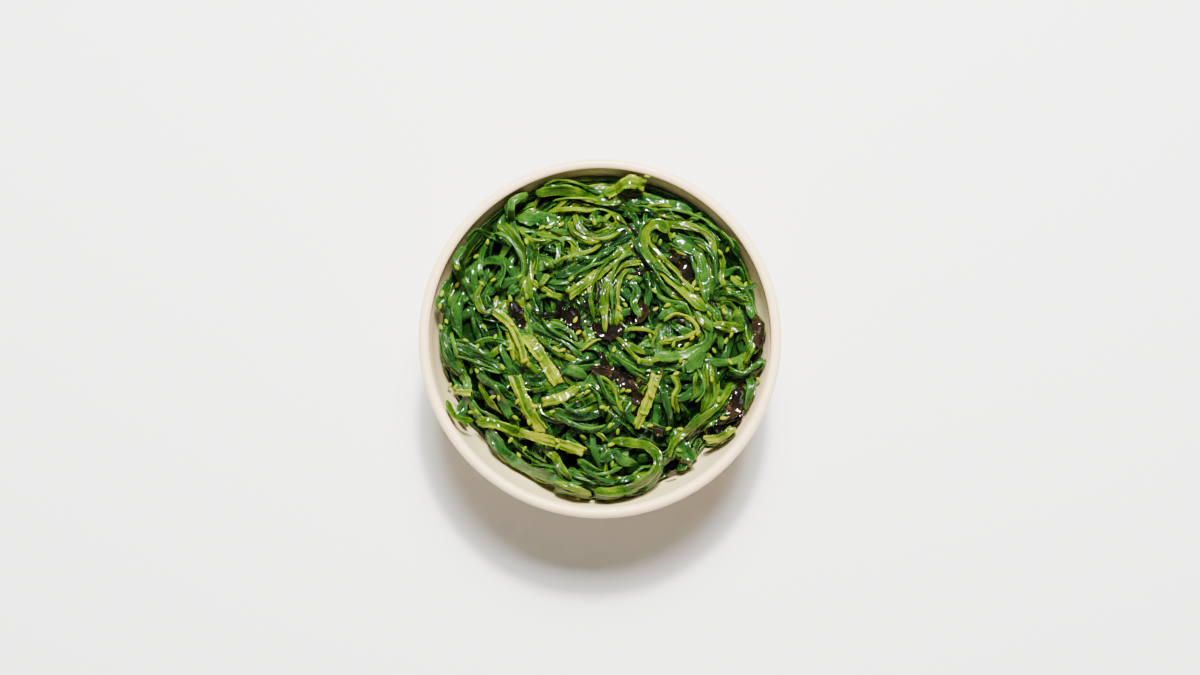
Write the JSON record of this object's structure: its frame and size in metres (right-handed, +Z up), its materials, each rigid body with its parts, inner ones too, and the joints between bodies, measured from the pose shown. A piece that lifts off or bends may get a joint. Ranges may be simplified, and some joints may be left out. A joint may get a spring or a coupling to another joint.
{
  "type": "wakame salad in a bowl",
  "caption": "Shredded wakame salad with pale stem slices, wood-ear pieces and sesame seeds, heaped in a round cream bowl.",
  "frame": {"origin": "centre of the circle that the bowl's foot ring stands on", "axes": "+Z up along the bowl's axis, the shortest extent; -Y towards the picture's lower edge"},
  "size_m": [0.13, 0.1296, 0.052],
  "materials": {
    "bowl": "satin",
    "wakame_dark": "gloss",
    "wakame_deep": "gloss",
    "wakame_green": "gloss",
    "wakame_bright": "gloss",
    "stem_slice": "gloss",
    "wood_ear": "gloss"
  },
  "bodies": {
    "root": {"bowl": "bowl", "ear_centre": "wood_ear", "ear_centre_left": "wood_ear", "ear_left": "wood_ear", "ear_lower_centre": "wood_ear", "ear_lower_right": "wood_ear", "ear_right_wall": "wood_ear", "ear_upper_right": "wood_ear", "frond_bottom_drop": "wakame_bright", "frond_bottom_gloss": "wakame_green", "frond_bottom_loop": "wakame_bright", "frond_bottom_stub": "wakame_bright", "frond_centre_dark": "wakame_deep", "frond_centre_gloss": "wakame_green", "frond_centre_left": "wakame_green", "frond_centre_rise": "wakame_bright", "frond_dark_lower": "wakame_deep", "frond_dark_upper": "wakame_deep", "frond_hook": "wakame_bright", "frond_left_curl": "wakame_bright", "frond_left_edge": "wakame_deep", "frond_left_low": "wakame_deep", "frond_left_outer": "wakame_green", "frond_left_sweep": "wakame_bright", "frond_right_arc": "wakame_green", "frond_right_diagonal": "wakame_bright", "frond_right_drop": "wakame_bright", "frond_right_edge": "wakame_green", "frond_right_flat": "wakame_bright", "frond_right_inner": "wakame_green", "frond_right_slope": "wakame_bright", "frond_right_sweep": "wakame_bright", "frond_right_top": "wakame_bright", "frond_rim_lower_left": "wakame_deep", "frond_rim_right": "wakame_green", "frond_ring": "wakame_green", "frond_ring_lower": "wakame_green", "frond_ring_post": "wakame_green", "frond_top_band": "wakame_bright", "frond_top_right": "wakame_deep", "frond_upper_cup": "wakame_bright", "frond_upper_left": "wakame_green", "leaf_lower_right": "wakame_green", "leaf_right": "wakame_green", "leaf_upper_left": "wakame_green", "slice_centre": "stem_slice", "slice_left_long": "stem_slice", "slice_left_wide": "stem_slice", "slice_lower_centre": "stem_slice", "slice_lower_long": "stem_slice", "slice_right_yellow": "stem_slice", "slice_serrated": "stem_slice", "slice_top": "stem_slice", "slice_wall_right": "stem_slice", "wakame_bed": "wakame_dark"}
  },
  "joints": []
}
